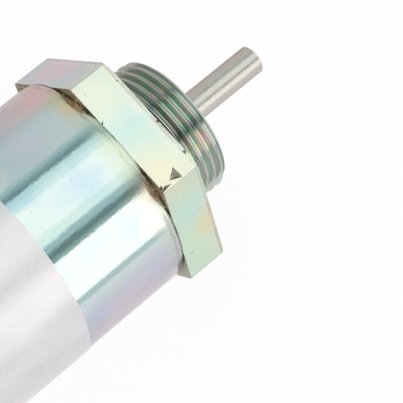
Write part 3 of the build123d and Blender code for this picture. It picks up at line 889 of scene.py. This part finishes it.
pin = {
    "radius": 2.45 * mm,
    "tipRounding": 0.35 * mm,
    "headThickness": 1.2 * mm,
    "headRounding": 0.15 * mm,
    "shoulderRounding": 0.1 * mm,
    "grooveDepth": 0.45 * mm,
    "grooveGap": 0.03 * mm,  # play on each side of the clip
}
clipLow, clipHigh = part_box("pin_clip")
headFront = pinLow.x + pin["headThickness"]
grooveLow, grooveHigh = clipLow.x - pin["grooveGap"], clipHigh.x + pin["grooveGap"]
grooveRadius = pin["radius"] - pin["grooveDepth"]
pushPin = spinOutline("pushPin", [
    (pinLow.x, 0),
    (pinLow.x, pinHigh.z, pin["headRounding"]),
    (headFront, pinHigh.z, pin["shoulderRounding"]),
    (headFront, pin["radius"]),
    (grooveLow, pin["radius"]),
    (grooveLow, grooveRadius),
    (grooveHigh, grooveRadius),
    (grooveHigh, pin["radius"]),
    (pinHigh.x, pin["radius"], pin["tipRounding"]),
    (pinHigh.x, 0),
], steps=96, closed=False)
dress(pushPin, "armature", "ground_steel", "push_pin", groundSteel)

seal = {
    "lip": 2.57 * mm,
    "lipThickness": 0.5 * mm,
    "grooveWidth": 1.0 * mm,
    "grooveDepth": 1.2 * mm,
    "rounding": 0.12 * mm,
}
heel, lipTop = sealHigh.z, seal["lip"] + seal["lipThickness"]
grooveFloor = sealHigh.x - seal["grooveDepth"]
lipSeal = spinOutline("lipSeal", [
    (sealLow.x, seal["lip"] + seal["grooveWidth"]),
    (sealLow.x, heel, seal["rounding"]),
    (sealHigh.x, heel, seal["rounding"]),
    (sealHigh.x, heel - seal["grooveWidth"], seal["rounding"]),
    (grooveFloor, heel - seal["grooveWidth"], seal["rounding"]),
    (grooveFloor, lipTop + seal["grooveWidth"] / 2, seal["rounding"]),
    (sealHigh.x, lipTop, seal["rounding"]),
    (sealHigh.x, seal["lip"], seal["rounding"] / 2),
], steps=96)
dress(lipSeal, "housing", "seal_rubber", "wiper_seal", nitrileRubber)

cup = {"hole": 3.7 * mm, "chamfer": 0.4 * mm, "rounding": 0.08 * mm}
sealCup = spinOutline("sealCup", [
    (cupLow.x, cup["hole"]),
    (cupLow.x, cupHigh.z),
    (cupHigh.x, cupHigh.z, cup["rounding"]),
    (cupHigh.x, cup["hole"] + cup["chamfer"], cup["rounding"]),
    (cupHigh.x - cup["chamfer"], cup["hole"], cup["rounding"]),
], steps=96)
dress(sealCup, "housing", "plated_steel", "seal_retainer", hexZinc)

cap = {
    "wall": 3.0 * mm,
    "floor": 2.0 * mm,
    "collarRadius": 8.5 * mm,
    "collarHeight": 1.0 * mm,
    "hole": 5.0 * mm,
    "grooveWidth": 2.2 * mm,
    "grooveDepth": 1.6 * mm,
    "rounding": 0.3 * mm,
}
capRear = coverLow.x + cap["collarHeight"]
capFloor = capRear + cap["floor"]
capGroove = [(coverHigh.x + capFloor + side * cap["grooveWidth"]) / 2 for side in (1, -1)]
rearCap = spinOutline("rearCap", [
    (coverHigh.x, coverHigh.z - cap["wall"]),
    (coverHigh.x, coverHigh.z),
    (capGroove[0], coverHigh.z),
    (capGroove[0], coverHigh.z - cap["grooveDepth"]),
    (capGroove[1], coverHigh.z - cap["grooveDepth"]),
    (capGroove[1], coverHigh.z),
    (capRear, coverHigh.z),
    (capRear, cap["collarRadius"], cap["rounding"]),
    (coverLow.x, cap["collarRadius"], cap["rounding"]),
    (coverLow.x, cap["hole"]),
    (capFloor, cap["hole"]),
    (capFloor, coverHigh.z - cap["wall"]),
], steps=160)
dress(rearCap, "housing", "cap_plastic", "rear_cover", blackNylon)

gland = {
    "flangeThickness": 1.6 * mm,
    "neck": 4.97 * mm,
    "innerFlange": 6.3 * mm,
    "rootRadius": 5.6 * mm,
    "endRadius": 4.6 * mm,
    "ribs": 3,
    "ribDepth": 0.6 * mm,
    "holes": 3,
    "holeRadius": 1.15 * mm,
    "holeCircle": 2.4 * mm,
    "rounding": 0.35 * mm,
    "seatRounding": 0.1 * mm,
    "ribRounding": 0.25 * mm,
    "grooveRounding": 0.2 * mm,
    "sharpAngle": 35,
}


def makeGland():
    size = gland
    thick = size["flangeThickness"]
    tailRoot = coverLow.x - thick
    rib = (tailRoot - grommetLow.x) / (2 * size["ribs"])
    taper = (size["rootRadius"] - size["endRadius"]) / (tailRoot - grommetLow.x)
    corners = [
        (grommetHigh.x, 0),
        (grommetHigh.x, size["innerFlange"], size["rounding"]),
        (grommetHigh.x - thick, size["innerFlange"]),
        (grommetHigh.x - thick, size["neck"]),
        (coverLow.x, size["neck"]),
        (coverLow.x, grommetHigh.z, size["seatRounding"]),
        (tailRoot, grommetHigh.z, size["rounding"]),
    ]
    for i in range(size["ribs"]):
        station = tailRoot - 2 * i * rib
        radius = size["rootRadius"] - taper * (tailRoot - station)
        corners += [
            (station, radius - size["ribDepth"], size["grooveRounding"]),
            (station - rib, radius - size["ribDepth"], size["grooveRounding"]),
            (station - rib, radius, size["ribRounding"]),
            (station - 2 * rib, radius, size["ribRounding"]),
        ]
    corners.append((grommetLow.x, 0))
    piece = spinOutline("leadGrommet", corners, steps=96, closed=False)
    length = grommetHigh.x - grommetLow.x
    for i in range(size["holes"]):
        angle = math.pi + math.tau * i / size["holes"]
        place = (
            (grommetHigh.x + grommetLow.x) / 2,
            size["holeCircle"] * math.sin(angle),
            -size["holeCircle"] * math.cos(angle),
        )
        clearChoice()
        bpy.ops.mesh.primitive_cylinder_add(
            vertices=32, radius=size["holeRadius"], depth=length + 2 * mm, location=place,
            rotation=acrossToAlong)
        joinSolid(piece, bpy.context.object, "DIFFERENCE")
    makeActive(piece)
    bpy.ops.object.shade_smooth_by_angle(angle=math.radians(size["sharpAngle"]))
    return piece


dress(makeGland(), "housing", "seal_rubber", "grommet", nitrileRubber)

spring = {
    "wire": 0.4 * mm,  # radius
    "turns": 8,
    "wireSides": 10,
    "stepsPerTurn": 32,
    "ringSteps": 48,
    "sharpAngle": 60,
    "stroke": 10 * mm,
}


def makeSpring():
    size = spring
    coil = springHigh.z - size["wire"]
    length = springHigh.x - springLow.x - 2 * size["wire"]
    clearChoice()
    bpy.ops.mesh.primitive_circle_add(
        vertices=size["wireSides"], radius=size["wire"], location=(springLow.x + size["wire"], 0, coil),
        rotation=(math.pi / 2, 0, 0))
    piece = bpy.context.object
    piece.name = "returnSpring"
    bpy.ops.object.transform_apply(location=True, rotation=True, scale=True)
    rise = piece.modifiers.new("rise", "SCREW")
    rise.axis = "X"
    rise.screw_offset = length / size["turns"]
    rise.iterations = size["turns"]
    rise.steps = rise.render_steps = size["stepsPerTurn"]
    bpy.ops.object.modifier_apply(modifier=rise.name)
    bpy.ops.object.mode_set(mode="EDIT")
    bpy.ops.mesh.select_all(action="SELECT")
    bpy.ops.mesh.fill_holes(sides=size["wireSides"])
    finishSpin(piece, size["sharpAngle"])
    for end in (springLow.x + size["wire"], springHigh.x - size["wire"]):  # the closed turn at each end
        clearChoice()
        bpy.ops.mesh.primitive_torus_add(
            major_segments=size["ringSteps"], minor_segments=size["wireSides"], major_radius=coil,
            minor_radius=size["wire"], location=(end, 0, 0), rotation=acrossToAlong)
        turn = bpy.context.object
        bpy.ops.object.transform_apply(location=True, rotation=True, scale=True)
        joinSolid(piece, turn, "UNION")
    makeActive(piece)
    bpy.ops.object.shade_smooth_by_angle(angle=math.radians(size["sharpAngle"]))
    return piece


returnSpring = makeSpring()
dress(returnSpring, "housing", "spring_steel", "return_spring", springSteel)
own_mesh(returnSpring)

# Studio: pale floor, white surround, soft lamps, and long cards that show only as reflections
studio = {
    "floorSize": 6.0,
    "floorTint": "#f4f4f4",
    "floorRoughness": 0.9,
    "floorGlow": 0.93,
    "roomLight": 0.55,
    "cardDistance": 0.6,
    "cardFrom": -1.0,
    "cardTo": 1.6,
    "boardFrom": 0.022,
    "boardHeight": 0.5 * mm,
    "cards": [  # from angle, to angle, colour, strength; 0 is straight up, plus is towards +Y
        (-84, -42, "#ffffff", 1.2),
        (-92, -85, "#bcc8cc", 1.0),
        (-42, -37.5, "#8fa49f", 1.0),
        (-37.5, -31.5, "#6f8486", 1.0),
        (-31.5, -24.5, "#a7bec2", 1.0),
        (-24.5, -15, "#eaf6f2", 1.0),
        (15, 21, "#e2f0f0", 1.0),
        (21, 27.5, "#cfe4e4", 1.0),
        (27.5, 31.5, "#778d8e", 1.0),
        (31.5, 35, "#8fa4a5", 1.0),
        (35, 39, "#a8bcbc", 1.0),
        (39, 92, "#c8cccb", 1.0),
    ],
    "boards": [  # side, colour; darker sheets on the floor beside the solenoid, seen only in reflections: painted shade of the floor there
        (-1, "#e2e1e6"),
        (1, "#d4cccd"),
    ],
}


def seenRay(tree):  # 1 for what the camera sees, straight, mirrored or through clear pieces
    rays = addNode(tree, "LightPath").outputs
    seen = rays["Is Camera Ray"]
    for kind in ("Is Glossy Ray", "Is Transmission Ray"):
        seen = addNode(tree, "Math", {"operation": "MAXIMUM"}, [seen, rays[kind]]).outputs[0]
    return seen


def makeRoom():
    world = bpy.data.worlds.new("whiteRoom")
    bpy.context.scene.world = world
    world.use_nodes = True
    tree = world.node_tree
    tree.nodes.clear()
    strength = addNode(tree, "MapRange", {}, [seenRay(tree), 0, 1, studio["roomLight"], 1.0]).outputs[0]
    sky = addNode(tree, "Background", {"Color": (1, 1, 1, 1)}, {"Strength": strength})
    addNode(tree, "OutputWorld", inputs={"Surface": sky.outputs[0]})


def makeFloor():
    clearChoice()
    bpy.ops.mesh.primitive_plane_add(size=studio["floorSize"], location=(0, 0, floorHeight))
    floor = bpy.context.object
    floor.name = "floor"
    paper = {"Base Color": linear(studio["floorTint"]), "Roughness": studio["floorRoughness"]}
    material, tree, shader, _ = startMaterial("paleFloor", paper)
    glow = addNode(tree, "Emission", {"Color": (1, 1, 1, 1), "Strength": 1.0})
    share = addNode(tree, "MapRange", {}, [seenRay(tree), 0, 1, 0, studio["floorGlow"]]).outputs[0]
    mixed = addNode(tree, "MixShader", inputs={0: share, 1: shader.outputs[0], 2: glow.outputs[0]})
    output = [node for node in tree.nodes if node.type == "OUTPUT_MATERIAL"][0]
    tree.links.new(mixed.outputs[0], output.inputs["Surface"])
    floor.data.materials.append(material)


def makeCard(name, edges, colour, strength=1.0):
    # a long strip between two edges, each given by its place across the axis
    clearChoice()
    bpy.ops.mesh.primitive_plane_add(size=1)
    card = bpy.context.object
    card.name = name
    places = [Vector((x, *edge)) for edge in edges for x in (studio["cardFrom"], studio["cardTo"])]
    for vert, place in zip(card.data.vertices, places):
        vert.co = place
    material = bpy.data.materials.new(f"{name}Paper")
    material.use_nodes = True
    tree = material.node_tree
    tree.nodes.clear()
    glow = addNode(tree, "Emission", {"Color": linear(colour), "Strength": strength})
    addNode(tree, "OutputMaterial", inputs={"Surface": glow.outputs[0]})
    card.data.materials.append(material)
    for sight in ("camera", "diffuse", "shadow", "transmission", "volume_scatter"):
        setattr(card, f"visible_{sight}", False)


makeRoom()
makeFloor()
reach = studio["cardDistance"]
for number, (fromAngle, toAngle, colour, strength) in enumerate(studio["cards"]):
    turns = [math.radians(angle) for angle in (fromAngle, toAngle)]
    makeCard(f"card{number}", [(reach * math.sin(t), reach * math.cos(t)) for t in turns], colour, strength)
height = floorHeight + studio["boardHeight"]
# painted shade: darker sheets stand in for the shaded floor in reflections
for side, colour in studio["boards"]:
    edges = [(side * away, height) for away in (studio["boardFrom"], reach)]
    makeCard(f"board{side}", edges, colour)

lamps = {  # place, size and watts
    "overLeft": ((-0.25, 0.55, 0.75), 0.7, 3.2),
    "overRight": ((0.1, -0.7, 0.65), 0.7, 3.2),
}
for lampName, (place, size, watts) in lamps.items():
    light = bpy.data.lights.new(lampName, "AREA")
    light.size = size
    light.energy = watts
    lamp = bpy.data.objects.new(lampName, light)
    bpy.context.scene.collection.objects.link(lamp)
    lamp.location = place
    lamp.rotation_euler = (-Vector(place)).to_track_quat("-Z", "Y").to_euler()
    lamp.visible_glossy = False
print("studio made")

shot = {
    "place": (-0.10554, -0.05661, 0.30850),
    "direction": (0.32804, 0.13376, -0.93515),
    "up": (0.60403, 0.73142, 0.31650),
    "lens": 189.0,
    "sensor": 36.0,
    "clipStart": 0.01,
}
camera = bpy.data.objects.new("camera", bpy.data.cameras.new("camera"))
bpy.context.scene.collection.objects.link(camera)
camera.data.lens = shot["lens"]
camera.data.sensor_width = shot["sensor"]
camera.data.clip_start = shot["clipStart"]
back = -Vector(shot["direction"]).normalized()
side = Vector(shot["up"]).cross(back).normalized()
turn = Matrix((side, back.cross(side), back)).transposed()
camera.matrix_world = Matrix.Translation(shot["place"]) @ turn.to_4x4()
bpy.context.scene.camera = camera
bpy.context.scene.view_settings.view_transform = "Standard"
